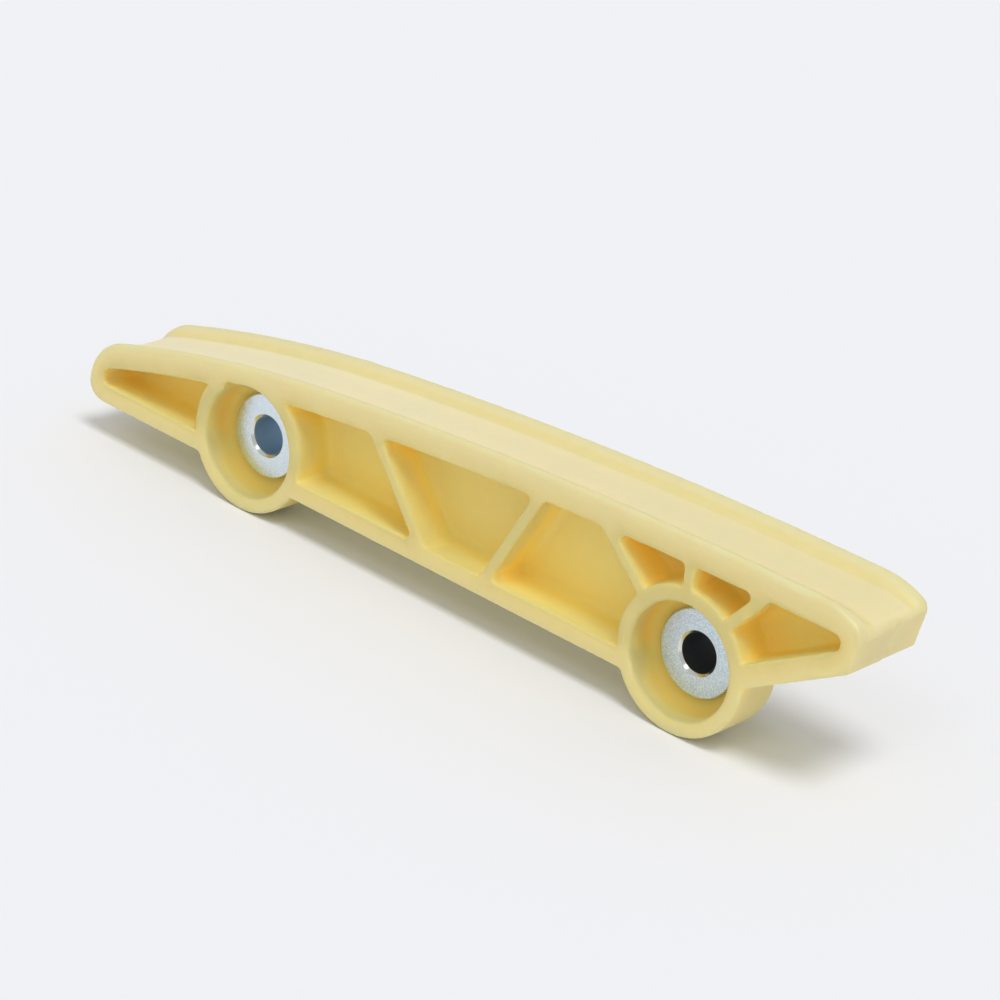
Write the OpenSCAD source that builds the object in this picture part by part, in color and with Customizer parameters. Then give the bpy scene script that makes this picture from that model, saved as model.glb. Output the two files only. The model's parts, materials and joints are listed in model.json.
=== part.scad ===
// Timing chain guide: a moulded nylon rail on two flanged steel sleeves.
// X runs along the line of the two bolts, Y along the bolts (the bolt heads are on the -Y side)
// and Z towards the chain. The origin is on the right bolt's axis, at the middle of the width.

/* [Rail] */
// Width of the rail across the chain
rail_width = 18.6; // [16:0.1:22]
// Height of the lips over the bolt line, at the top of the curve
crest_height = 22.05; // [20.5:0.05:24]
// Distance from the right bolt to the top of the curve
crest_x = 23.3; // [15:0.1:30]
// Radius of the long sliding curve
curve_radius = 970; // [800:5:1400]
// Distance from the right bolt to where the lead-in curve starts, towards the long end
lead_reach = 83.2; // [70:0.1:90]
// Radius of the lead-in curve
lead_radius = 286; // [260:1:340]
// Height of the shoe's side, from the pockets to the top of the lips
shoe_height = 4.7; // [3.5:0.1:5.5]

/* [Ends] */
// Length of the long end, from the right bolt to its tip
tip_reach = 139.4; // [134:0.1:144]
// Radius of the upper side of the tip
tip_radius = 9.4; // [8:0.1:12]
// Thickness of the wall at the tip
tip_wall = 3.4; // [2.6:0.1:6]
// Length of the short end, from the right bolt to the foot of its face
end_reach = 32; // [30:0.1:36]
// Depth of the foot of the short end's face below the top of the curve
end_drop = 10.35; // [9.6:0.05:12]
// Lean of the short end's face, in degrees
end_lean = 10.2; // [0:0.1:14]
// Rounding between the lips and the short end's face
end_round = 2.5; // [1:0.1:3.5]
// Thickness of the wall at the short end, at the top of its pocket
end_wall = 3.5; // [2.6:0.1:5]
// Length over which the lips fall away at the short end
runout_length = 8; // [6:0.1:9]
// Radius on which the lips fall away
runout_radius = 18; // [16:0.5:26]
// Width of the shallow gate mark on the short end's face, from the engine side
gate_width = 9.3; // [4:0.1:12]
// Height of the gate mark, from the face's foot
gate_height = 7; // [3:0.1:7.2]
// Depth of the gate mark
gate_depth = 0.3; // [0.1:0.05:0.6]

/* [Chain channel] */
// Depth of the channel below the lips
channel_depth = 1.6; // [1:0.1:2.4]
// Rounding of the channel's inner corner
floor_round = 1.5; // [1:0.1:2.5]
// Rounding of the lips on the channel's side
lip_round = 3; // [1.5:0.1:4]
// Rounding of the lips on the outside
edge_round = 0.6; // [0.3:0.1:1.2]

/* [Ribs and web] */
// Depth of the lower flange's underside below the bolt line
flange_drop = 6.2; // [5:0.1:7.5]
// Thickness of the lower flange
flange_thick = 3.5; // [2.5:0.1:4.5]
// Thickness of the middle web
web_thick = 3; // [2:0.1:4.5]
// Thickness of the ribs
rib_thick = 2; // [1.4:0.1:3]
// First rib: distance of its top from the right bolt
rib1_top = 70; // [66:0.1:74]
// First rib: distance of its foot from the right bolt
rib1_foot = 57; // [54:0.1:60]
// Second rib: distance of its top from the right bolt
rib2_top = 33; // [29:0.1:37]
// Second rib: distance of its foot from the right bolt
rib2_foot = 42; // [39:0.1:46]
// Direction of the right boss's left rib, in degrees
fan_left = 138; // [130:0.5:146]
// Direction of the right boss's middle rib, in degrees
fan_mid = 93; // [86:0.5:100]
// Direction of the right boss's right rib, in degrees
fan_right = 51; // [46:0.5:58]
// Slope of the short end's lower wall, in degrees
nose_slope = 30; // [27:0.5:32]
// Thickness of the short end's lower wall
nose_wall = 3.9; // [3:0.1:4.5]
// Rounding of the pockets' corners
pocket_round = 1; // [0.4:0.1:1.4]

/* [Bosses] */
// Distance between the two bolts
bolt_spacing = 99; // [95:0.1:103]
// Diameter of the bosses
boss_d = 26; // [24.4:0.1:28]
// Depth of the large part of the bosses
boss_depth = 9.7; // [9.3:0.1:12]
// Diameter of the bosses on the engine side
rear_boss_d = 18; // [16:0.1:19]
// Diameter of the recess for the bolt head
recess_d = 20.3; // [18.5:0.1:22]
// Depth of the recess for the bolt head
recess_depth = 5.9; // [5.5:0.1:7.4]
// Rounding at the recess's foot, as a share of the room beside the sleeve's flange
recess_foot = 0.7; // [0.2:0.05:0.9]
// Distance of the left recess's corner, under the shoe, from the bolt
recess_corner = 7; // [5:0.1:8.5]
// Rounding of the bosses' rims
rim_round = 0.5; // [0.2:0.1:1]

/* [Sleeves] */
// Diameter of the bolt hole
bore_d = 7; // [6.4:0.1:7.6]
// Chamfer of the bolt hole
bore_chamfer = 0.5; // [0.2:0.05:1]
// Outside diameter of the sleeve's tube
tube_d = 10.5; // [9.4:0.1:12]
// Diameter of the sleeve's flange
sleeve_flange_d = 15.5; // [14.4:0.1:17]
// Thickness of the sleeve's flange
sleeve_flange_thick = 0.8; // [0.7:0.1:2.4]
// Rounding of the flange's edge
sleeve_edge = 0.3; // [0.1:0.05:0.6]
// How far the sleeve stands out on the engine side
sleeve_proud = 0.2; // [0.1:0.05:0.6]

/* [Hidden] */
$fn = 96;
// How far a cut goes past the face it opens
past = 1;
half = rail_width / 2;
front_y = -half;
rear_y = half;
left_x = -bolt_spacing;
boss_r = boss_d / 2;
step_y = front_y + boss_depth;
recess_y = front_y + recess_depth;
foot_round = recess_foot * (recess_d - sleeve_flange_d) / 2;
flange_z = -flange_drop;
flange_top = flange_z + flange_thick;
lead_x = -lead_reach;
tip_x = -tip_reach;
rib1_top_x = -rib1_top;
rib1_foot_x = -rib1_foot;
rib2_top_x = -rib2_top;
rib2_foot_x = -rib2_foot;
runout_x = end_reach - runout_length;
// How far from a bolt's axis the pockets begin, under the bosses
under_boss = boss_r / 2;

// Centres of the curves that make the top, each one touching the next
main_c = [crest_x, crest_height - curve_radius];
lead_dir = let (s = (lead_x - crest_x) / curve_radius) [s, sqrt(1 - s * s)];
lead_c = main_c + (curve_radius - lead_radius) * lead_dir;
tip_cx = tip_x + tip_radius;
tip_c = [tip_cx, lead_c.y + sqrt(pow(lead_radius - tip_radius, 2) - pow(tip_cx - lead_c.x, 2))];
tip_dir = (tip_c - lead_c) / norm(tip_c - lead_c);
low_radius = tip_c.y - flange_z;
low_c = [tip_x + low_radius, tip_c.y];
run_dir = let (s = (runout_x - crest_x) / curve_radius) [s, sqrt(1 - s * s)];
run_c = main_c + (curve_radius - runout_radius) * run_dir;

// The short end's face, and the rounded corner between it and the lips
end_foot = [end_reach, crest_height - end_drop];
end_up = [sin(end_lean), cos(end_lean)];
end_in = [-cos(end_lean), sin(end_lean)];
corner_c = corner_centre(run_c, runout_radius);
end_touch = corner_c - end_round * end_in;

// Directions in which one curve hands over to the next
a_run = angle_of(run_dir);
a_lead = angle_of(lead_dir);
a_tip = angle_of(tip_dir);
a_corner = angle_of(corner_c - run_c);

// Below the lips come the channel's floor, then the top of the frame inside the shoe, then the
// shoe's underside, which is a little above the pockets. At the two ends all three come closer
lap = 0.4;
sink = (channel_depth + shoe_height) / 2;
deep = shoe_height - lap;
end_share = 0.3 * end_round / channel_depth;
end_sink = 0.5 * end_round;
end_deep = 0.8 * end_round;
tip_share = 0.2 * low_radius / channel_depth;
tip_sink = 0.35 * low_radius;
tip_deep = 0.8 * low_radius;

// The shoe's first and last sections are inside the frame: how deep they lie there, and over
// which turn (in degrees) and which distance its ends go in
bury = 0.15;
bury_turn = 5;
bury_run = 1.2;

// Centre of the rounding between the falling lips and the short end's face
function corner_centre(c, r) =
    let (
        base = end_foot + end_round * end_in,
        off = base - c,
        b = off * end_up,
        reach = r - end_round
    )
    base + (sqrt(b * b - off * off + reach * reach) - b) * end_up;

// Angle of a direction, and the direction itself at length 1
function angle_of(v) = atan2(v.y, v.x);
function unit(v) = v / norm(v);

// Height of the shoe's underside at a distance along the rail
function under(x) =
    x < lead_x
    ? lead_c.y + sqrt(pow(lead_radius - shoe_height, 2) - pow(x - lead_c.x, 2))
    : main_c.y + sqrt(pow(curve_radius - shoe_height, 2) - pow(x - main_c.x, 2));
// Points along the underside between two distances, without the first and the last
function under_run(a, b, steps = 6) =
    [for (i = [1:steps - 1]) let (x = a + (b - a) * i / steps) [x, under(x), 0]];

// One corner of an outline, rounded by a radius
function corner(p, q, s, r, steps = 6) =
    r <= 0
    ? [q]
    : let (
        u = unit(p - q),
        v = unit(s - q),
        turn = acos(u * v),
        c = q + unit(u + v) * r / sin(turn / 2),
        from = angle_of(q + u * r / tan(turn / 2) - c),
        to = angle_of(q + v * r / tan(turn / 2) - c),
        sweep = (to - from + 540) % 360 - 180
    )
    [for (i = [0:steps]) c + r * [cos(from + sweep * i / steps), sin(from + sweep * i / steps)]];
// An outline whose points each have their corner's radius as third value
function rounded(list) =
    let (n = len(list))
    [for (i = [0:n - 1])
        let (p = list[(i + n - 1) % n], q = list[i], s = list[(i + 1) % n])
        for (t = corner([p.x, p.y], [q.x, q.y], [s.x, s.y], q[2])) t];

// Distance along the rail of one side of a slanted rib, at a height
function slant_x(top_x, foot_x, z, side) =
    let (
        top = [top_x, under(top_x)],
        foot = [foot_x, flange_top],
        d = unit(top - foot)
    )
    foot.x + (z - foot.y) * d.x / d.y + side * rib_thick / 2 / d.y;
// Where one side of a slanted rib reaches the shoe
function slant_reach(top_x, foot_x, side, z = crest_height, tries = 8) =
    let (x = slant_x(top_x, foot_x, z, side))
    tries == 0 ? [x, under(x)] : slant_reach(top_x, foot_x, side, under(x), tries - 1);
// A point on one side of a rib of the right boss, at a distance from the bolt's axis
function fan_point(a, r, side) = r * [cos(a), sin(a)] + side * rib_thick / 2 * [sin(a), -cos(a)];
// Where that side reaches the shoe
function fan_reach(a, side, r = crest_height, tries = 8) =
    let (p = fan_point(a, r, side))
    tries == 0 ? p : fan_reach(a, side, r + (under(p.x) - p.y) / sin(a), tries - 1);

// Points below an arc, at a depth that changes evenly from one end to the other
function below_arc(c, r, from, to, deep0, deep1, steps, first = 0) =
    [for (i = [first:steps])
        let (t = i / steps, a = from + (to - from) * t)
        c + (r - deep0 - (deep1 - deep0) * t) * [cos(a), sin(a)]];
// The frame's top, inside the shoe, along the two sliding curves
function inside_shoe() = concat(
    below_arc(main_c, curve_radius, a_run, a_lead, sink, sink, 24),
    below_arc(lead_c, lead_radius, a_lead, a_tip, sink, sink, 12, 1)
);

// Places an outline in the upright plane, between two depths
module upright(a, b) {
    translate([0, b, 0])
        rotate([90, 0, 0])
            linear_extrude(b - a)
                children();
}

module span(x0, x1, z0, z1) {
    translate([x0, z0])
        square([x1 - x0, z1 - z0]);
}

// Side outline of the rail inside the shoe, without its bosses
module frame_outline() {
    meet_x = end_foot.x - (end_foot.y - flange_z) / tan(nose_slope);
    polygon(concat(
        [[low_c.x, flange_z], [meet_x, flange_z], end_foot, end_touch],
        below_arc(corner_c, end_round, -end_lean, a_corner, end_sink, end_sink, 4, 2),
        below_arc(run_c, runout_radius, a_corner, a_run, end_sink, sink, 5, 1),
        inside_shoe(),
        below_arc(tip_c, tip_radius, a_tip, 180, sink, tip_sink, 8, 1),
        below_arc(low_c, low_radius, 180, 240, tip_sink, tip_sink, 5, 1)
    ));
}

// Everything below the frame's top, which keeps the left boss out of the chain's channel
module under_shoe() {
    low = flange_z - boss_d;
    polygon(concat([[tip_c.x, low], [runout_x, low]], inside_shoe()));
}

// Pockets between the ribs, drawn on under the bosses
module pocket_outlines() {
    long_end_pocket();
    // left boss to the first rib
    boss_x = left_x + under_boss;
    r1l = slant_reach(rib1_top_x, rib1_foot_x, -1);
    polygon(rounded(concat(
        [
            [boss_x, flange_top, 0],
            [slant_x(rib1_top_x, rib1_foot_x, flange_top, -1), flange_top, pocket_round],
            [r1l.x, r1l.y, pocket_round]
        ],
        under_run(r1l.x, boss_x),
        [[boss_x, under(boss_x), 0]]
    )));
    // between the two slanted ribs
    r1r = slant_reach(rib1_top_x, rib1_foot_x, 1);
    r2l = slant_reach(rib2_top_x, rib2_foot_x, -1);
    polygon(rounded(concat(
        [
            [slant_x(rib1_top_x, rib1_foot_x, flange_top, 1), flange_top, pocket_round],
            [slant_x(rib2_top_x, rib2_foot_x, flange_top, -1), flange_top, pocket_round],
            [r2l.x, r2l.y, pocket_round]
        ],
        under_run(r2l.x, r1r.x),
        [[r1r.x, r1r.y, pocket_round]]
    )));
    // second rib to the left rib of the right boss
    r2r = slant_reach(rib2_top_x, rib2_foot_x, 1);
    fan_in = fan_point(fan_left, under_boss, -1);
    fan_out = fan_reach(fan_left, -1);
    polygon(rounded(concat(
        [
            [slant_x(rib2_top_x, rib2_foot_x, flange_top, 1), flange_top, pocket_round],
            [-under_boss, flange_top, 0],
            [fan_in.x, fan_in.y, 0],
            [fan_out.x, fan_out.y, pocket_round]
        ],
        under_run(fan_out.x, r2r.x),
        [[r2r.x, r2r.y, pocket_round]]
    )));
    fan_pocket(fan_left, fan_mid);
    fan_pocket(fan_mid, fan_right);
    short_end_pocket();
}

// Pocket from the left boss to the tip. It ends at the tip's wall, or where the shoe comes so near
// to the flange that the rounded corners only just fit
module long_end_pocket() {
    boss_x = left_x - under_boss;
    flange_round = 1.5 * pocket_round;
    least = flange_round + pocket_round;
    fit_z = flange_top + least - lead_c.y;
    fit_x = lead_c.x - sqrt(pow(lead_radius - shoe_height, 2) - fit_z * fit_z);
    far_x = max(tip_x + tip_wall, fit_x);
    polygon(rounded(concat(
        [[boss_x, flange_top, 0], [boss_x, under(boss_x), 0]],
        under_run(boss_x, far_x),
        [[far_x, under(far_x), pocket_round], [far_x, flange_top, flange_round]]
    )));
}

// One pocket between two ribs of the right boss
module fan_pocket(a, b) {
    p = fan_point(a, under_boss, 1);
    q = fan_point(b, under_boss, -1);
    r = fan_reach(b, -1);
    s = fan_reach(a, 1);
    polygon(rounded(concat(
        [[p.x, p.y, 0], [q.x, q.y, 0], [r.x, r.y, pocket_round]],
        under_run(r.x, s.x, 3),
        [[s.x, s.y, pocket_round]]
    )));
}

// Pocket from the right rib of the right boss to the short end's wall
module short_end_pocket() {
    fan_in = fan_point(fan_right, under_boss, 1);
    fan_out = fan_reach(fan_right, 1);
    wall_x = end_foot.x + (under(end_foot.x) - end_foot.y) * tan(end_lean) - end_wall;
    // height of the lower wall's top at a distance along the rail
    function wall_top(x) = end_foot.y + (x - end_foot.x) * tan(nose_slope) + nose_wall / cos(nose_slope);
    polygon(rounded(concat(
        [
            [fan_in.x, fan_in.y, 0],
            [under_boss, wall_top(under_boss), 0],
            [wall_x, wall_top(wall_x), pocket_round],
            [wall_x, under(wall_x), pocket_round]
        ],
        under_run(wall_x, fan_out.x, 3),
        [[fan_out.x, fan_out.y, pocket_round]]
    )));
}

// Half of the shoe's section, from the channel's floor over one lip to the outside. Each point has
// its depth below the lip, whether that depth belongs to the channel, and its distance from the middle
function half_section(floor_steps = 3, lip_steps = 5, edge_steps = 3) =
    let (
        reach = floor_round + lip_round,
        bend = acos(1 - channel_depth / reach),
        crest = half - edge_round,
        foot = crest - reach * sin(bend)
    )
    concat(
        [for (i = [0:floor_steps])
            let (a = bend * i / floor_steps)
            [channel_depth - floor_round * (1 - cos(a)), 1, foot + floor_round * sin(a)]],
        [for (i = [1:lip_steps])
            let (a = bend * (1 - i / lip_steps))
            [lip_round * (1 - cos(a)), 1, crest - lip_round * sin(a)]],
        [for (i = [1:edge_steps])
            let (a = 90 * i / edge_steps)
            [edge_round * (1 - cos(a)), 0, crest + edge_round * sin(a)]]
    );

// Places of the shoe's sections along an arc: point on the lip, outward direction, depth of the
// section and share of the channel's depth, the last two changing evenly along the arc
function places(c, r, from, to, deep0, deep1, share0, share1, steps, first = 0) =
    [for (i = [first:steps])
        let (t = i / steps, a = from + (to - from) * t, n = [cos(a), sin(a)])
        [c + r * n, n, deep0 + (deep1 - deep0) * t, share0 + (share1 - share0) * t]];

// All places, from the short end's face to under the tip. The first and last are inside the frame
function all_places() = concat(
    [[end_touch - bury_run * end_up + bury * end_in, -end_in, end_deep, 0]],
    places(corner_c, end_round, bury_turn - end_lean, a_corner, end_deep, end_deep, 0, end_share, 6),
    places(run_c, runout_radius, a_corner, a_run, end_deep, deep, end_share, 1, 8, 1),
    places(main_c, curve_radius, a_run, a_lead, deep, deep, 1, 1, 14, 1),
    places(lead_c, lead_radius, a_lead, a_tip, deep, deep, 1, 1, 10, 1),
    places(tip_c, tip_radius, a_tip, 180, deep, tip_deep, 1, tip_share, 9, 1),
    places(low_c, low_radius, 180, 270 - bury_turn, tip_deep, tip_deep, tip_share, 0, 7, 1),
    [[[low_c.x + bury_run, flange_z + bury], [0, -1], tip_deep, 0]]
);

// The shoe: two rounded lips with the chain's channel between them
module shoe() {
    section = half_section();
    spots = all_places();
    m = len(section) + 1;
    n = 2 * m;
    last = len(spots) - 1;
    // depth below the lip and distance from the middle of point j of half a section
    function depth_of(j, spot) =
        j == m - 1
        ? spot[2]
        : section[j][0] * (section[j][1] == 1 ? spot[3] : 1);
    function side_of(j) = j == m - 1 ? half : section[j][2];
    // point j of a whole section
    function point_of(spot, j) =
        let (
            k = j < m ? j : n - 1 - j,
            p = spot[0] - depth_of(k, spot) * spot[1]
        )
        [p.x, (j < m ? 1 : -1) * side_of(k), p.y];
    // number of point j of section i, and the two triangles that start from it
    function at(i, j) = i * n + j % n;
    function near_side(i, j) = [at(i, j), at(i + 1, j), at(i + 1, j + 1)];
    function far_side(i, j) = [at(i, j), at(i + 1, j + 1), at(i, j + 1)];
    polyhedron(
        points = [for (spot = spots) for (j = [0:n - 1]) point_of(spot, j)],
        faces = concat(
            [for (i = [0:last - 1]) for (j = [0:n - 1]) near_side(i, j)],
            [for (i = [0:last - 1]) for (j = [0:n - 1]) far_side(i, j)],
            [for (i = [1:n - 2]) [at(0, m - 1), at(0, m - 1 + i), at(0, m + i)]],
            [for (i = [1:n - 2]) [at(last, m - 1), at(last, m + i), at(last, m - 1 + i)]]
        )
    );
}

// Turns a section, drawn from the axis outwards and along the bolt, about a bolt's axis
module about_bolt(x) {
    translate([x, 0, 0])
        rotate([-90, 0, 0])
            rotate_extrude()
                children();
}

// Section of one boss
module boss_section() {
    span(0, boss_r - rim_round, front_y, step_y);
    span(0, boss_r, front_y + rim_round, step_y - rim_round);
    for (y = [front_y + rim_round, step_y - rim_round])
        translate([boss_r - rim_round, y])
            circle(rim_round);
    span(0, rear_boss_d / 2, step_y - past, rear_y);
}

// Section of the recess for a bolt head, with its rounded rim and foot, and of the hole for the sleeve
module recess_section() {
    r = recess_d / 2;
    span(0, r, front_y - past, recess_y - foot_round);
    span(0, r - foot_round, front_y - past, recess_y);
    translate([r - foot_round, recess_y - foot_round])
        circle(foot_round);
    difference() {
        span(0, r + rim_round, front_y - past, front_y + rim_round);
        translate([r + rim_round, front_y + rim_round])
            circle(rim_round);
    }
    span(0, tube_d / 2, front_y, rear_y + past);
}

// The left recess's top runs on straight, along the shoe, to a corner
module recess_corner_outline() {
    along = unit([-recess_corner, under(left_x - recess_corner) - under(left_x)]);
    touch = [left_x, 0] + recess_d / 2 * [along.y, -along.x];
    tip = touch - (touch.x - left_x + recess_corner) / along.x * along;
    polygon([[left_x, 0], touch, tip, [tip.x, 0]]);
}

// Section of one sleeve
module sleeve_section() {
    face_y = recess_y - sleeve_flange_thick;
    back_y = rear_y + sleeve_proud;
    r = bore_d / 2;
    flange_r = sleeve_flange_d / 2;
    difference() {
        union() {
            intersection() {
                span(r, flange_r, face_y, recess_y);
                union() {
                    span(r, flange_r - sleeve_edge, face_y, recess_y);
                    span(r, flange_r, face_y + sleeve_edge, recess_y);
                    translate([flange_r - sleeve_edge, face_y + sleeve_edge])
                        circle(sleeve_edge);
                }
            }
            span(r, tube_d / 2, recess_y - sleeve_flange_thick / 2, back_y);
        }
        bore_corner(r, face_y, 1);
        bore_corner(r, back_y, -1);
    }
}

// Corner cut off one end of the bolt hole
module bore_corner(r, y, inwards) {
    reach = bore_chamfer + past;
    polygon([[r - past, y - inwards * past], [r + reach, y - inwards * past], [r - past, y + inwards * reach]]);
}

// Shallow mark on the short end's face where the mould was filled
module gate_mark() {
    translate([end_foot.x, rear_y - gate_width, end_foot.y])
        rotate([0, end_lean, 0])
            translate([-gate_depth, 0, -past])
                cube([gate_depth + past, gate_width + past, gate_height + past]);
}

module guide_rail() {
    color([0.86, 0.79, 0.55])
        difference() {
            union() {
                difference() {
                    upright(front_y, rear_y)
                        frame_outline();
                    upright(front_y - past, -web_thick / 2)
                        pocket_outlines();
                    upright(web_thick / 2, rear_y + past)
                        pocket_outlines();
                }
                shoe();
                about_bolt(0)
                    boss_section();
                intersection() {
                    about_bolt(left_x)
                        boss_section();
                    upright(front_y - past, rear_y + past)
                        under_shoe();
                }
            }
            about_bolt(0)
                recess_section();
            about_bolt(left_x)
                recess_section();
            upright(front_y - past, recess_y - foot_round)
                recess_corner_outline();
            gate_mark();
        }
}

module sleeve(x) {
    color([0.78, 0.8, 0.83])
        about_bolt(x)
            sleeve_section();
}

module left_sleeve() {
    sleeve(left_x);
}

module right_sleeve() {
    sleeve(0);
}

guide_rail();
left_sleeve();
right_sleeve();
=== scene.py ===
"""Looks of a timing chain guide: a moulded nylon rail on two zinc-plated steel sleeves.

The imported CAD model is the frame, and everything is in metres in the same frame. The rail is shown as a finer
copy of its CAD node with the soft edges of a moulding, and each sleeve as a copy with broken edges.
"""

from __future__ import annotations

import json
import logging
import math
from dataclasses import dataclass, field
from enum import Enum

import bpy
import numpy as np
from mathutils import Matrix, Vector
from mathutils.bvhtree import BVHTree

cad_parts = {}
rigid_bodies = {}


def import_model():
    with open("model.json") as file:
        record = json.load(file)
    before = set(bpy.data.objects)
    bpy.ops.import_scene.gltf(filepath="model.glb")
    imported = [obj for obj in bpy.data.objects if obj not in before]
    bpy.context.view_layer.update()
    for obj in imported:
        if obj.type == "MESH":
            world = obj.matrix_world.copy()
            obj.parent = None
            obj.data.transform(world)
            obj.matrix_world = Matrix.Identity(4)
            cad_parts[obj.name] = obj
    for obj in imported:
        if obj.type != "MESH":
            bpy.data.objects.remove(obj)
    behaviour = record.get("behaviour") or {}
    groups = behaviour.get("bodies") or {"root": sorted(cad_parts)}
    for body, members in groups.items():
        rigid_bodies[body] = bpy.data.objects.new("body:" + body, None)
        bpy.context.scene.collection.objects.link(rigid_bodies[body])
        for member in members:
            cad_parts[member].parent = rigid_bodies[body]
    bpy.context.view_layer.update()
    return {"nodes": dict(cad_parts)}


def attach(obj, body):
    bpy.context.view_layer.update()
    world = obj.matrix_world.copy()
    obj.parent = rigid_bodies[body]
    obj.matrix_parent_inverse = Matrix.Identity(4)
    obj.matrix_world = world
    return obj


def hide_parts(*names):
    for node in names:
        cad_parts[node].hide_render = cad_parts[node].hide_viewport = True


LOG = logging.getLogger("chain_guide")
BODY = "root"
ENCLOSURE = "enclosure"
WALLS = "walls"
LIPS = "lips"
CHANNEL = "channel"
CORNERS = "corners"
MERGE_DISTANCE = 1e-6
SPOT_DETAIL = 3.0
SPOT_LIMITS = (0.32, 0.68)
GOLDEN_TURN = math.pi * (3.0 - math.sqrt(5.0))
Colour = tuple[float, float, float, float]
Stops = tuple[tuple[float, Colour], ...]
Span = tuple[float, float]
Socket = bpy.types.NodeSocket


def seen_colour(red: int, green: int, blue: int) -> Colour:
    """Return a colour that is written as it looks on a screen.

    Args:
        red: Red share from 0 to 255.
        green: Green share from 0 to 255.
        blue: Blue share from 0 to 255.

    Returns:
        The linear colour, with alpha 1.
    """
    shares = [value / 255.0 for value in (red, green, blue)]
    linear = [s / 12.92 if s <= 0.04045 else ((s + 0.055) / 1.055) ** 2.4 for s in shares]
    return (linear[0], linear[1], linear[2], 1.0)


class BoltPlace(Enum):
    """The two bolts that hold the guide, with their place along the rail in metres."""

    LEFT = -0.099
    RIGHT = 0.0


class Bench:
    """Operator calls that every piece needs."""

    @staticmethod
    def pick(piece: bpy.types.Object) -> None:
        """Make one piece the only selected and active one.

        Args:
            piece: The piece.
        """
        for item in bpy.context.view_layer.objects:
            item.select_set(False)
        piece.select_set(True)
        bpy.context.view_layer.objects.active = piece

    @staticmethod
    def merged_copy(node: bpy.types.Object, name: str) -> bpy.types.Object:
        """Copy a CAD node and merge its loose triangles.

        Args:
            node: The CAD node.
            name: Name of the copy.

        Returns:
            The copy, with its own mesh.
        """
        piece = bpy.data.objects.new(name, node.data.copy())
        piece.data.name = name
        piece.data.materials.clear()
        bpy.context.scene.collection.objects.link(piece)
        Bench.pick(piece)
        bpy.ops.object.mode_set(mode="EDIT")
        bpy.ops.mesh.select_all(action="SELECT")
        bpy.ops.mesh.remove_doubles(threshold=MERGE_DISTANCE)
        bpy.ops.object.mode_set(mode="OBJECT")
        return piece

    @staticmethod
    def finish_with(piece: bpy.types.Object, kind: str, **settings: object) -> None:
        """Add a modifier to a piece and apply it.

        Args:
            piece: The piece.
            kind: The modifier's type.
            settings: Values of the modifier.
        """
        Bench.pick(piece)
        modifier = piece.modifiers.new(kind.lower(), kind)
        for name, value in settings.items():
            setattr(modifier, name, value)
        bpy.ops.object.modifier_apply(modifier=modifier.name)


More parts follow.
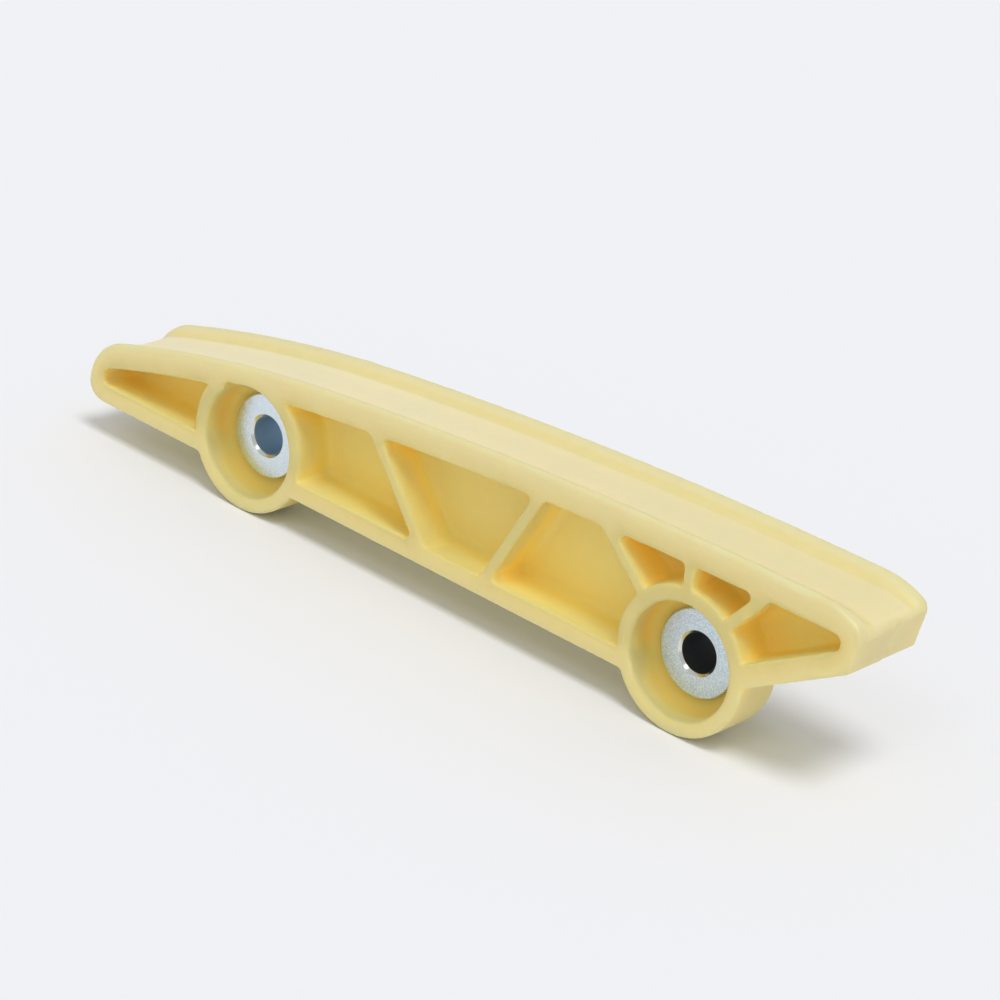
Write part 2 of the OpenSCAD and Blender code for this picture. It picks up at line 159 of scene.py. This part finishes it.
class NodeDesk:
    """Places and joins the nodes of one material or node group."""

    def __init__(self, tree: bpy.types.NodeTree) -> None:
        """Work on one node tree.

        Args:
            tree: The node tree.
        """
        self.tree = tree

    def add(self, kind: str, **settings: object) -> bpy.types.Node:
        """Add a node.

        Args:
            kind: The node's type.
            settings: Properties of the node.

        Returns:
            The node.
        """
        node = self.tree.nodes.new(kind)
        for name, value in settings.items():
            setattr(node, name, value)
        return node

    def feed(self, target: Socket, value: object) -> None:
        """Link a socket to another one, or set its value.

        Args:
            target: The socket to feed.
            value: Another socket, or a plain value.
        """
        if isinstance(value, bpy.types.NodeSocket):
            self.tree.links.new(value, target)
        else:
            target.default_value = value

    def between(self, value: Socket, low: float, high: float, start: float = 0.0, end: float = 1.0) -> Socket:
        """Map a value smoothly from one range to another.

        Args:
            value: The value to map.
            low: Value that gives start.
            high: Value that gives end.
            start: Result at and below low.
            end: Result at and above high.

        Returns:
            The mapped value.
        """
        node = self.add("ShaderNodeMapRange", interpolation_type="SMOOTHSTEP")
        for place, number in enumerate((value, low, high, start, end)):
            self.feed(node.inputs[place], number)
        return node.outputs[0]

    def ramp(self, value: Socket, stops: Stops) -> Socket:
        """Turn a value into a colour.

        Args:
            value: The value.
            stops: Values with their colours, lowest first.

        Returns:
            The colour.
        """
        node = self.add("ShaderNodeValToRGB")
        band = node.color_ramp
        while len(band.elements) < len(stops):
            band.elements.new(1.0)
        for element, (place, colour) in zip(band.elements, stops):
            element.position = place
            element.color = colour
        self.feed(node.inputs[0], value)
        return node.outputs[0]

    def blend(self, share: Socket, first: object, second: object) -> Socket:
        """Mix two colours.

        Args:
            share: Share of the second colour.
            first: Colour at share 0.
            second: Colour at share 1.

        Returns:
            The mixed colour.
        """
        node = self.add("ShaderNodeMix", data_type="RGBA")
        self.feed(node.inputs[0], share)
        self.feed(node.inputs[6], first)
        self.feed(node.inputs[7], second)
        return node.outputs[2]

    def blend_value(self, share: Socket, first: object, second: object) -> Socket:
        """Mix two values.

        Args:
            share: Share of the second value.
            first: Value at share 0.
            second: Value at share 1.

        Returns:
            The mixed value.
        """
        node = self.add("ShaderNodeMix", data_type="FLOAT")
        self.feed(node.inputs[0], share)
        self.feed(node.inputs[2], first)
        self.feed(node.inputs[3], second)
        return node.outputs[0]

    def mark(self, name: str) -> Socket:
        """Read a value that the mesh keeps at each point.

        Args:
            name: The attribute.

        Returns:
            The value.
        """
        node = self.add("ShaderNodeAttribute", attribute_type="GEOMETRY", attribute_name=name)
        return node.outputs["Fac"]

    def place(self) -> bpy.types.Node:
        """Read the place on the object, split into its axes.

        Returns:
            A node with the outputs X, Y and Z, in metres.
        """
        axes = self.add("ShaderNodeSeparateXYZ")
        self.feed(axes.inputs[0], self.add("ShaderNodeTexCoord").outputs["Object"])
        return axes

    def times(self, first: Socket, second: Socket) -> Socket:
        """Multiply two values.

        Args:
            first: One value.
            second: The other value.

        Returns:
            The product.
        """
        node = self.add("ShaderNodeMath", operation="MULTIPLY")
        self.feed(node.inputs[0], first)
        self.feed(node.inputs[1], second)
        return node.outputs[0]

    def lightness(self, colour: Socket, value: Socket) -> Socket:
        """Make a colour lighter or darker.

        Args:
            colour: The colour.
            value: What its lightness is multiplied by.

        Returns:
            The new colour.
        """
        node = self.add("ShaderNodeHueSaturation")
        self.feed(node.inputs["Value"], value)
        self.feed(node.inputs["Color"], colour)
        return node.outputs[0]

    def bump(self, height: Socket, strength: float, distance: float) -> Socket:
        """Turn heights into a normal.

        Args:
            height: Height from 0 to 1.
            strength: Share of the effect.
            distance: What height 1 stands for, in metres.

        Returns:
            The normal.
        """
        node = self.add("ShaderNodeBump")
        self.feed(node.inputs["Strength"], strength)
        self.feed(node.inputs["Distance"], distance)
        self.feed(node.inputs["Height"], height)
        return node.outputs[0]

    def group(self, tree: bpy.types.NodeTree, **inputs: object) -> Socket:
        """Place a node group.

        Args:
            tree: The group.
            inputs: Its inputs by name.

        Returns:
            Its first output.
        """
        node = self.add("ShaderNodeGroup", node_tree=tree)
        for name, value in inputs.items():
            self.feed(node.inputs[name], value)
        return node.outputs[0]


@dataclass
class SharedEffects:
    """Node groups that more than one material uses, each built once."""

    built: dict[str, bpy.types.NodeTree] = field(default_factory=dict)

    def speckle(self) -> bpy.types.NodeTree:
        """Give the group that varies a value in fine, soft spots.

        Returns:
            A group with the inputs Scale, Low and High.
        """
        if "speckle" not in self.built:
            tree = bpy.data.node_groups.new("speckle", "ShaderNodeTree")
            for name in ("Scale", "Low", "High"):
                tree.interface.new_socket(name=name, in_out="INPUT", socket_type="NodeSocketFloat")
            tree.interface.new_socket(name="Value", in_out="OUTPUT", socket_type="NodeSocketFloat")
            desk = NodeDesk(tree)
            given = desk.add("NodeGroupInput")
            result = desk.add("NodeGroupOutput")
            place = desk.add("ShaderNodeTexCoord")
            spots = desk.add("ShaderNodeTexNoise", noise_dimensions="3D")
            desk.feed(spots.inputs["Vector"], place.outputs["Object"])
            desk.feed(spots.inputs["Scale"], given.outputs["Scale"])
            desk.feed(spots.inputs["Detail"], SPOT_DETAIL)
            spread = desk.add("ShaderNodeMapRange")
            ends = (given.outputs["Low"], given.outputs["High"])
            for number, value in enumerate((spots.outputs[0], *SPOT_LIMITS, *ends)):
                desk.feed(spread.inputs[number], value)
            desk.feed(result.inputs["Value"], spread.outputs[0])
            self.built["speckle"] = tree
        return self.built["speckle"]

    def bolt_radius(self) -> bpy.types.NodeTree:
        """Give the group for the distance from a bolt's axis, which runs along Y.

        Returns:
            A group with the input Centre, the bolt's place along X.
        """
        if "bolt_radius" not in self.built:
            tree = bpy.data.node_groups.new("bolt_radius", "ShaderNodeTree")
            tree.interface.new_socket(name="Centre", in_out="INPUT", socket_type="NodeSocketFloat")
            tree.interface.new_socket(name="Radius", in_out="OUTPUT", socket_type="NodeSocketFloat")
            desk = NodeDesk(tree)
            given = desk.add("NodeGroupInput")
            result = desk.add("NodeGroupOutput")
            axes = desk.place()
            off = desk.add("ShaderNodeMath", operation="SUBTRACT")
            desk.feed(off.inputs[0], axes.outputs["X"])
            desk.feed(off.inputs[1], given.outputs["Centre"])
            flat = desk.add("ShaderNodeCombineXYZ")
            desk.feed(flat.inputs["X"], off.outputs[0])
            desk.feed(flat.inputs["Z"], axes.outputs["Z"])
            length = desk.add("ShaderNodeVectorMath", operation="LENGTH")
            desk.feed(length.inputs[0], flat.outputs[0])
            desk.feed(result.inputs["Radius"], length.outputs["Value"])
            self.built["bolt_radius"] = tree
        return self.built["bolt_radius"]


@dataclass(frozen=True)
class NylonFinish:
    """Natural nylon in pale cream, with painted shade and glow in its hollows and painted light on its top."""

    # Painted shade: open faces get darker the more the rail's own walls enclose them.
    open_shade_colours: Stops = (
        (0.02, seen_colour(223, 208, 142)),
        (0.05, seen_colour(228, 216, 146)),
        (0.10, seen_colour(228, 214, 141)),
        (0.16, seen_colour(223, 208, 133)),
        (0.21, seen_colour(212, 199, 124)),
        (0.30, seen_colour(207, 192, 118)),
    )
    # Painted shade and painted glow in the pockets: darker where a face is only a little enclosed, brighter and
    # yellower deeper in, for light through the nylon.
    pocket_glow_and_shade: Stops = (
        (0.12, seen_colour(208, 188, 98)),
        (0.20, seen_colour(218, 204, 133)),
        (0.30, seen_colour(227, 217, 139)),
        (0.42, seen_colour(241, 225, 138)),
        (0.52, seen_colour(248, 228, 127)),
        (0.62, seen_colour(254, 226, 123)),
    )
    # Painted shade and painted glow in the recesses round the bolts: greyer near the rim, brighter and yellower
    # the more enclosed.
    recess_glow_and_shade: Stops = (
        (0.14, seen_colour(200, 192, 129)),
        (0.24, seen_colour(216, 204, 124)),
        (0.32, seen_colour(222, 204, 115)),
        (0.40, seen_colour(237, 206, 105)),
    )
    recess_walls: Span = (0.0, 0.25)
    recess_radius: float = 0.0101
    recess_blur: float = 0.0006
    # Painted light from above: a paler colour on faces that point up with nothing above them.
    lip_top_light: Colour = seen_colour(223, 218, 168)
    # Painted shade: a yellower band low on the lips' inner slopes, which get less light from above.
    foot_shade_colour: Colour = seen_colour(225, 215, 149)
    foot_start: Span = (0.0044, 0.0056)
    foot_end: Span = (0.0063, 0.0075)
    # Painted light from above on the channel floor, paler towards the long end.
    channel_top_light: tuple[Colour, Colour] = (seen_colour(240, 231, 188), seen_colour(232, 221, 167))
    channel_ends: Span = (-0.13, 0.02)
    mottle: Span = (0.99, 1.008)
    mottle_scale: float = 420.0
    roughness: Span = (0.36, 0.46)
    roughness_scale: float = 260.0
    deep_roughness: float = 0.65
    grain_scale: float = 2600.0
    grain_bump: float = 0.18
    grain_height: float = 0.00004
    subsurface_weight: float = 1.0
    subsurface_radius: tuple[float, float, float] = (1.0, 0.62, 0.26)
    subsurface_scale: float = 0.005
    refraction: float = 1.53
    shine: Span = (0.7, 0.15)

    def material(self, effects: SharedEffects) -> bpy.types.Material:
        """Build the material.

        Args:
            effects: The shared node groups.

        Returns:
            The material.
        """
        material = bpy.data.materials.new("natural_nylon")
        material.use_nodes = True
        desk = NodeDesk(material.node_tree)
        shader = material.node_tree.nodes["Principled BSDF"]
        walled = desk.mark(WALLS)
        # Painted shade and glow by enclosure, then painted light from above on the rail's top.
        colour = self.painted_top_light(desk, self.painted_pocket_light(desk, effects, walled))
        low, high = self.mottle
        mottle = desk.group(effects.speckle(), Scale=self.mottle_scale, Low=low, High=high)
        desk.feed(shader.inputs["Base Color"], desk.lightness(colour, mottle))
        low, high = self.roughness
        sheen = desk.group(effects.speckle(), Scale=self.roughness_scale, Low=low, High=high)
        desk.feed(shader.inputs["Roughness"], desk.blend_value(walled, sheen, self.deep_roughness))
        desk.feed(shader.inputs["Specular IOR Level"], desk.blend_value(walled, *self.shine))
        grain = desk.group(effects.speckle(), Scale=self.grain_scale, Low=0.0, High=1.0)
        desk.feed(shader.inputs["Normal"], desk.bump(grain, self.grain_bump, self.grain_height))
        shader.subsurface_method = "BURLEY"
        shader.inputs["Subsurface Weight"].default_value = self.subsurface_weight
        shader.inputs["Subsurface Radius"].default_value = self.subsurface_radius
        shader.inputs["Subsurface Scale"].default_value = self.subsurface_scale
        shader.inputs["IOR"].default_value = self.refraction
        return material

    def painted_pocket_light(self, desk: NodeDesk, effects: SharedEffects, walled: Socket) -> Socket:
        """Paint shade and glow on the open faces, pockets and bolt recesses by how far they are enclosed.

        Args:
            desk: The material's nodes.
            effects: The shared node groups.
            walled: How far a face belongs to a pocket.

        Returns:
            The colour.
        """
        depth = desk.mark(ENCLOSURE)
        in_open = desk.ramp(depth, self.open_shade_colours)
        in_pocket = desk.ramp(depth, self.pocket_glow_and_shade)
        in_recess = desk.ramp(depth, self.recess_glow_and_shade)
        colour = desk.blend(walled, in_open, in_pocket)
        inside = desk.between(walled, *self.recess_walls)
        for bolt in BoltPlace:
            radius = desk.group(effects.bolt_radius(), Centre=bolt.value)
            near = desk.between(radius, self.recess_radius, self.recess_radius + self.recess_blur, 1.0, 0.0)
            colour = desk.blend(desk.times(near, inside), colour, in_recess)
        return colour

    def painted_top_light(self, desk: NodeDesk, colour: Socket) -> Socket:
        """Paint light from above on the lips and the channel between them, and shade on the lips' feet.

        Args:
            desk: The material's nodes.
            colour: The colour of everything else.

        Returns:
            The colour with the rail's top in it.
        """
        on_top = desk.mark(LIPS)
        axes = desk.place()
        along = desk.between(axes.outputs["X"], *self.channel_ends)
        aside = desk.add("ShaderNodeMath", operation="ABSOLUTE")
        desk.feed(aside.inputs[0], axes.outputs["Y"])
        beyond_floor = desk.between(aside.outputs[0], *self.foot_start)
        before_crest = desk.between(aside.outputs[0], *self.foot_end, 1.0, 0.0)
        foot = desk.times(desk.times(beyond_floor, before_crest), on_top)
        # Painted light from above on the top and the channel floor, and painted shade on the lips' feet.
        colour = desk.blend(on_top, colour, self.lip_top_light)
        colour = desk.blend(desk.mark(CHANNEL), colour, desk.blend(along, *self.channel_top_light))
        return desk.blend(foot, colour, self.foot_shade_colour)


@dataclass(frozen=True)
class ZincFinish:
    """Zinc-plated steel: grainy on the flange, bright on the bore's edge, another colour in the bore."""

    name: str
    light_colour: Colour
    dark_colour: Colour
    bore_colour: Colour
    bore_metal: float
    grain_bump: float
    flange_roughness: Span
    flange_scale: float = 1500.0
    grain_scale: float = 4600.0
    grain_height: float = 0.00006
    edge_colour: Colour = seen_colour(226, 227, 220)
    edge_height: float = 0.5
    edge_roughness: float = 0.18
    edge_radius: float = 0.004
    edge_blur: float = 8e-5
    bore_roughness: float = 0.6
    bore_radius: float = 0.0035
    bore_blur: Span = (2e-5, 8e-5)

    def material(self, effects: SharedEffects, bolt: BoltPlace) -> bpy.types.Material:
        """Build the material for the sleeve of one bolt.

        Args:
            effects: The shared node groups.
            bolt: The bolt.

        Returns:
            The material.
        """
        material = bpy.data.materials.new(self.name)
        material.use_nodes = True
        desk = NodeDesk(material.node_tree)
        shader = material.node_tree.nodes["Principled BSDF"]
        radius = desk.group(effects.bolt_radius(), Centre=bolt.value)
        bore_ends = [self.bore_radius + blur for blur in self.bore_blur]
        in_bore = desk.between(radius, *bore_ends, 1.0, 0.0)
        on_edge = desk.between(radius, self.edge_radius, self.edge_radius + self.edge_blur, 1.0, 0.0)
        grain = desk.group(effects.speckle(), Scale=self.grain_scale, Low=0.0, High=1.0)
        flange = desk.blend(grain, self.dark_colour, self.light_colour)
        plated = desk.blend(on_edge, flange, self.edge_colour)
        desk.feed(shader.inputs["Base Color"], desk.blend(in_bore, plated, self.bore_colour))
        low, high = self.flange_roughness
        matt = desk.group(effects.speckle(), Scale=self.flange_scale, Low=low, High=high)
        turned = desk.blend_value(on_edge, matt, self.edge_roughness)
        desk.feed(shader.inputs["Roughness"], desk.blend_value(in_bore, turned, self.bore_roughness))
        desk.feed(shader.inputs["Metallic"], desk.blend_value(in_bore, 1.0, self.bore_metal))
        height = desk.blend_value(on_edge, grain, self.edge_height)
        desk.feed(shader.inputs["Normal"], desk.bump(height, self.grain_bump, self.grain_height))
        return material


@dataclass
class GuideRail:
    """The moulded rail, shown as a finer copy of its node with soft edges.

    The pairs web_start and web_full say at which enclosure a face begins to count as a pocket's, and at
    which it counts fully: first for the webs, which face along the bolts, then for the walls round them.
    """

    node: str = "guide_rail"
    voxel: float = 0.00025
    softening: int = 9
    smoothing: float = 0.5
    corner_rounds: int = 80
    corner_radius: float = 0.0008
    corner_depth: float = 0.0045
    corner_gain: float = 5.0
    corner_levels: int = 10
    boss_radius: float = 0.0118
    triangles: int = 185000
    rays: int = 20
    ray_lift: float = 0.0001
    reach: float = 0.03
    glow_reach: float = 0.0018
    wall_reach: float = 0.0006
    web_lean: float = 0.7
    web_start: Span = (0.06, 0.14)
    web_full: Span = (0.16, 0.4)
    lip_lean: float = 0.4
    lip_blur: float = 0.0014
    channel_lean: float = 0.5
    channel_half: float = 0.0066
    channel_blur: float = 0.0007
    finish: NylonFinish = field(default_factory=NylonFinish)

    def build(self, node: bpy.types.Object) -> bpy.types.Object:
        """Make the fine copy.

        Args:
            node: The rail's CAD node.

        Returns:
            The finished mesh.
        """
        piece = Bench.merged_copy(node, "moulded_rail")
        Bench.finish_with(piece, "REMESH", mode="VOXEL", voxel_size=self.voxel, adaptivity=0.0)
        Bench.finish_with(piece, "SMOOTH", factor=self.smoothing, iterations=self.softening)
        self.mark_corners(piece)
        rounding = {"iterations": self.corner_rounds, "vertex_group": CORNERS}
        Bench.finish_with(piece, "SMOOTH", factor=self.smoothing, **rounding)
        Bench.finish_with(piece, "TRIANGULATE")
        share = min(1.0, self.triangles / len(piece.data.polygons))
        Bench.finish_with(piece, "DECIMATE", decimate_type="COLLAPSE", ratio=share)
        Bench.pick(piece)
        bpy.ops.object.shade_smooth()
        return piece

    @staticmethod
    def points_of(mesh: bpy.types.Mesh) -> tuple[np.ndarray, np.ndarray]:
        """Read the points of a mesh.

        Args:
            mesh: The mesh.

        Returns:
            The points' places and their normals, one a row.
        """
        places = np.zeros(len(mesh.vertices) * 3, np.float32)
        normals = np.zeros(len(mesh.vertices) * 3, np.float32)
        mesh.vertices.foreach_get("co", places)
        mesh.vertices.foreach_get("normal", normals)
        return places.reshape(-1, 3), normals.reshape(-1, 3)

    def mark_corners(self, piece: bpy.types.Object) -> None:
        """Put the points near the foot of the pockets' walls into a vertex group, by how hollow they are.

        Args:
            piece: The fine copy.
        """
        places, normals = self.points_of(piece.data)
        pairs = np.zeros(len(piece.data.edges) * 2, np.int64)
        piece.data.edges.foreach_get("vertices", pairs)
        first, second = pairs.reshape(-1, 2).T
        count = len(places)
        degree = np.maximum(np.bincount(pairs, minlength=count), 1)
        lines = places[second] - places[first]
        squares = np.maximum((lines**2).sum(axis=1), 1e-12)
        bend = ((normals[first] - normals[second]) * lines).sum(axis=1) / squares
        hollow = (np.bincount(first, bend, count) + np.bincount(second, bend, count)) / degree
        hollow = np.clip(hollow * self.corner_radius, 0.0, 1.0)
        hollow[np.abs(places[:, 1]) > self.corner_depth] = 0.0
        for bolt in BoltPlace:
            hollow[np.hypot(places[:, 0] - bolt.value, places[:, 2]) < self.boss_radius] = 0.0
        for _ in range(self.corner_rounds):
            total = np.bincount(first, hollow[second], count) + np.bincount(second, hollow[first], count)
            hollow = 0.5 * hollow + 0.5 * total / degree
        shares = np.clip(hollow * self.corner_gain, 0.0, 1.0)
        levels = np.rint(shares * self.corner_levels).astype(int)
        group = piece.vertex_groups.new(name=CORNERS)
        for level in range(1, self.corner_levels + 1):
            group.add(np.flatnonzero(levels == level).tolist(), level / self.corner_levels, "REPLACE")

    def directions(self, normals: np.ndarray) -> np.ndarray:
        """Spread rays about each normal, closer together near it.

        Args:
            normals: One unit normal a row.

        Returns:
            An array of points, rays and directions.
        """
        turn = np.arange(self.rays) * GOLDEN_TURN
        out = np.sqrt((np.arange(self.rays) + 0.5) / self.rays)
        up = np.sqrt(1.0 - out * out)
        helper = np.where(np.abs(normals[:, 2:3]) < 0.9, [[0.0, 0.0, 1.0]], [[1.0, 0.0, 0.0]])
        first = np.cross(normals, helper)
        first /= np.linalg.norm(first, axis=1, keepdims=True)
        second = np.cross(normals, first)
        across = first[:, None, :] * (out * np.cos(turn))[None, :, None]
        across += second[:, None, :] * (out * np.sin(turn))[None, :, None]
        return across + normals[:, None, :] * up[None, :, None]

    def mark_points(self, piece: bpy.types.Object) -> None:
        """Store what the finish reads at each point.

        The marks say how far the rail's own walls enclose a point, and whether it belongs to a pocket, to the
        rail's top with the lips, or to the channel.

        Args:
            piece: The fine copy.
        """
        mesh = piece.data
        places, normals = self.points_of(mesh)
        tree = BVHTree.FromObject(piece, bpy.context.evaluated_depsgraph_get())
        starts = places + normals * self.ray_lift
        # The enclosure drives the painted shade and painted glow in the rail's colour.
        enclosed = self.enclosed_shares(tree, starts, normals)
        # Faces open above get painted light from above in the rail's colour.
        crown = self.open_above(tree, starts, normals)
        on_floor = (normals[:, 2] > self.channel_lean) & (np.abs(places[:, 1]) < self.channel_half)
        facing = np.abs(normals[:, 1]) > self.web_lean
        low = np.where(facing, *self.web_start)
        walled = np.clip((enclosed - low) / (np.where(facing, *self.web_full) - low), 0.0, 1.0)
        marks = (
            (ENCLOSURE, enclosed, self.glow_reach),
            (WALLS, walled, self.wall_reach),
            (LIPS, crown, self.lip_blur),
            (CHANNEL, np.where(on_floor, crown, 0.0), self.channel_blur),
        )
        areas = self.point_areas(mesh)
        for name, values, reach in marks:
            self.store(mesh, name, self.soak(places, areas, values, reach))

    def enclosed_shares(self, tree: BVHTree, starts: np.ndarray, normals: np.ndarray) -> np.ndarray:
        """Measure how far each point is enclosed.

        Args:
            tree: The rail's faces.
            starts: A place just off each point.
            normals: One unit normal a row.

        Returns:
            A share from 0 in the open to 1, where near walls count more than far ones.
        """
        enclosed = np.zeros(len(starts))
        for number, rays in enumerate(self.directions(normals)):
            start = Vector(starts[number])
            hits = [tree.ray_cast(start, Vector(ray), self.reach)[3] for ray in rays]
            enclosed[number] = sum(1.0 - hit / self.reach for hit in hits if hit is not None) / self.rays
        return enclosed

    def open_above(self, tree: BVHTree, starts: np.ndarray, normals: np.ndarray) -> np.ndarray:
        """Find the points that face up and have nothing above them.

        Args:
            tree: The rail's faces.
            starts: A place just off each point.
            normals: One unit normal a row.

        Returns:
            1 for such a point and 0 for any other.
        """
        crown = np.zeros(len(starts))
        for number in np.flatnonzero(normals[:, 2] > self.lip_lean):
            above = tree.ray_cast(Vector(starts[number]), Vector((0.0, 0.0, 1.0)), self.reach)[3]
            crown[number] = 1.0 if above is None else 0.0
        return crown

    @staticmethod
    def store(mesh: bpy.types.Mesh, name: str, values: np.ndarray) -> None:
        """Keep one value a point as an attribute of the mesh.

        Args:
            mesh: The mesh.
            name: The attribute.
            values: One value a point.
        """
        attribute = mesh.attributes.new(name, "FLOAT", "POINT")
        attribute.data.foreach_set("value", values.astype(np.float32))

    @staticmethod
    def point_areas(mesh: bpy.types.Mesh) -> np.ndarray:
        """Share the area of the triangles among their points.

        Args:
            mesh: A mesh of triangles.

        Returns:
            One area a point.
        """
        corners = np.zeros(len(mesh.loops), np.int64)
        mesh.loops.foreach_get("vertex_index", corners)
        areas = np.zeros(len(mesh.polygons))
        mesh.polygons.foreach_get("area", areas)
        return np.bincount(corners, np.repeat(areas / 3.0, 3), len(mesh.vertices))

    @staticmethod
    def soak(places: np.ndarray, areas: np.ndarray, values: np.ndarray, reach: float) -> np.ndarray:
        """Average values over the space round each point, so that they soak through thin walls.

        The values are spread over the cells of a grid, two to the reach. The grid is blurred along each axis
        and read again at the points.

        Args:
            places: One point a row.
            areas: How much each point counts.
            values: One value a point.
            reach: The distance at which a neighbour counts six tenths.

        Returns:
            The averaged values.
        """
        cells = 2.0
        margin = 8
        blur = [(step, math.exp(-step * step / (2.0 * cells**2))) for step in range(-6, 7)]
        cell = reach / cells
        spot = (places - places.min(axis=0)) / cell + float(margin)
        index = np.floor(spot).astype(np.int64)
        part = spot - index
        size = index.max(axis=0) + margin + 2
        corners = []
        for corner in np.ndindex(2, 2, 2):
            share = np.prod(np.where(np.array(corner) == 1, part, 1.0 - part), axis=1)
            corners.append((np.ravel_multi_index((index + corner).T, size), share))
        totals = []
        for weight in (areas * values, areas):
            grid = sum(np.bincount(flat, share * weight, size.prod()) for flat, share in corners)
            grid = grid.reshape(size)
            for axis in range(3):
                grid = sum(share * np.roll(grid, step, axis) for step, share in blur)
            totals.append(sum(share * grid.ravel()[flat] for flat, share in corners))
        return totals[0] / np.maximum(totals[1], 1e-15)

    def dress(self, piece: bpy.types.Object, effects: SharedEffects) -> None:
        """Give the rail its finish and its place in the frame.

        Args:
            piece: The finished mesh.
            effects: The shared node groups.
        """
        self.mark_points(piece)
        piece.data.materials.append(self.finish.material(effects))
        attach(piece, BODY)
        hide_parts(self.node)


@dataclass
class BoltSleeve:
    """One flanged steel sleeve, shown as a copy of its node with broken edges."""

    node: str
    piece_name: str
    bolt: BoltPlace
    finish: ZincFinish
    edge_break: float = 0.0001
    edge_segments: int = 4
    edge_angle: float = 28.0
    smooth_angle: float = 40.0

    def build(self, node: bpy.types.Object) -> bpy.types.Object:
        """Make the copy and break its edges.

        Args:
            node: The sleeve's CAD node.

        Returns:
            The finished mesh.
        """
        piece = Bench.merged_copy(node, self.piece_name)
        sharp = {"limit_method": "ANGLE", "angle_limit": math.radians(self.edge_angle)}
        Bench.finish_with(piece, "BEVEL", width=self.edge_break, segments=self.edge_segments, **sharp)
        Bench.pick(piece)
        bpy.ops.object.shade_smooth_by_angle(angle=math.radians(self.smooth_angle))
        return piece

    def dress(self, piece: bpy.types.Object, effects: SharedEffects) -> None:
        """Give the sleeve its finish and its place in the frame.

        Args:
            piece: The finished mesh.
            effects: The shared node groups.
        """
        piece.data.materials.append(self.finish.material(effects, self.bolt))
        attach(piece, BODY)
        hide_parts(self.node)


@dataclass(frozen=True)
class Lamp:
    """A far, soft lamp: its strength, its spread and how it is turned, in degrees."""

    name: str
    strength: float
    spread: float
    turn: tuple[float, float, float]


@dataclass
class Studio:
    """Pale floor, soft light and the camera."""

    floor_height: float = -0.01302
    floor_size: float = 6.0
    floor_colour: Colour = (0.872, 0.88, 0.912, 1.0)
    floor_roughness: float = 0.9
    floor_shine: float = 0.1
    sky_colour: Colour = (1.0, 1.0, 1.0, 1.0)
    sky_strength: float = 0.58
    lamps: tuple[Lamp, ...] = (
        Lamp("upper_lamp", 1.35, 20.0, (12.5, 19.0, 0.0)),
        Lamp("front_lamp", 0.14, 16.0, (39.8, 13.5, 0.0)),
    )
    camera_place: tuple[float, float, float] = (0.31506693, -0.46157499, 0.27223533)
    camera_turn: tuple[float, float, float] = (65.47008613, -7.61898686, 41.66831885)
    camera_lens: float = 136.952638
    camera_sensor: float = 36.0
    camera_near: float = 0.01

    def build_floor(self) -> None:
        """Lay the floor under the bosses."""
        bpy.ops.mesh.primitive_plane_add(size=self.floor_size, location=(0.0, 0.0, self.floor_height))
        floor = bpy.context.active_object
        floor.name = "studio_floor"
        material = bpy.data.materials.new("pale_floor")
        material.use_nodes = True
        shader = material.node_tree.nodes["Principled BSDF"]
        shader.inputs["Base Color"].default_value = self.floor_colour
        shader.inputs["Roughness"].default_value = self.floor_roughness
        shader.inputs["Specular IOR Level"].default_value = self.floor_shine
        floor.data.materials.append(material)

    def build_light(self) -> None:
        """Set the even sky and the soft lamps."""
        scene = bpy.context.scene
        world = bpy.data.worlds.new("studio_sky")
        world.use_nodes = True
        sky = world.node_tree.nodes["Background"]
        sky.inputs["Color"].default_value = self.sky_colour
        sky.inputs["Strength"].default_value = self.sky_strength
        scene.world = world
        for lamp in self.lamps:
            light = bpy.data.lights.new(lamp.name, "SUN")
            light.energy = lamp.strength
            light.angle = math.radians(lamp.spread)
            holder = bpy.data.objects.new(lamp.name, light)
            holder.rotation_euler = [math.radians(turn) for turn in lamp.turn]
            scene.collection.objects.link(holder)

    def build_camera(self) -> None:
        """Set up the camera at the photograph's angle."""
        scene = bpy.context.scene
        camera = bpy.data.cameras.new("photo_camera")
        camera.lens = self.camera_lens
        camera.sensor_width = self.camera_sensor
        camera.sensor_fit = "HORIZONTAL"
        camera.clip_start = self.camera_near
        holder = bpy.data.objects.new("photo_camera", camera)
        holder.location = self.camera_place
        holder.rotation_euler = [math.radians(turn) for turn in self.camera_turn]
        scene.collection.objects.link(holder)
        scene.camera = holder
        scene.view_settings.view_transform = "Standard"


RIGHT_ZINC = ZincFinish(
    name="grainy_zinc",
    light_colour=seen_colour(236, 250, 255),
    dark_colour=seen_colour(188, 208, 236),
    # Painted shade: the right bore is a dark non-metal so that it looks as dark as a deep, shaded hole.
    bore_colour=seen_colour(44, 52, 54),
    bore_metal=0.0,
    grain_bump=0.8,
    flange_roughness=(0.3, 0.46),
)
LEFT_ZINC = ZincFinish(
    name="smooth_zinc",
    light_colour=seen_colour(230, 240, 245),
    dark_colour=seen_colour(206, 221, 237),
    bore_colour=seen_colour(180, 204, 221),
    bore_metal=1.0,
    grain_bump=0.25,
    flange_roughness=(0.16, 0.26),
)


def main() -> None:
    """Load the frame, build every piece and set the scene."""
    logging.basicConfig(level=logging.INFO, format="%(message)s")
    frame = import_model()
    studio = Studio()
    studio.build_camera()
    studio.build_light()
    studio.build_floor()
    effects = SharedEffects()
    sleeves = [
        BoltSleeve("left_sleeve", "left_zinc_sleeve", BoltPlace.LEFT, LEFT_ZINC),
        BoltSleeve("right_sleeve", "right_zinc_sleeve", BoltPlace.RIGHT, RIGHT_ZINC),
    ]
    for part in [GuideRail(), *sleeves]:
        piece = part.build(frame["nodes"][part.node])
        part.dress(piece, effects)
        LOG.info("%s stands for %s with %d faces", piece.name, part.node, len(piece.data.polygons))


if __name__ == "__main__":
    main()
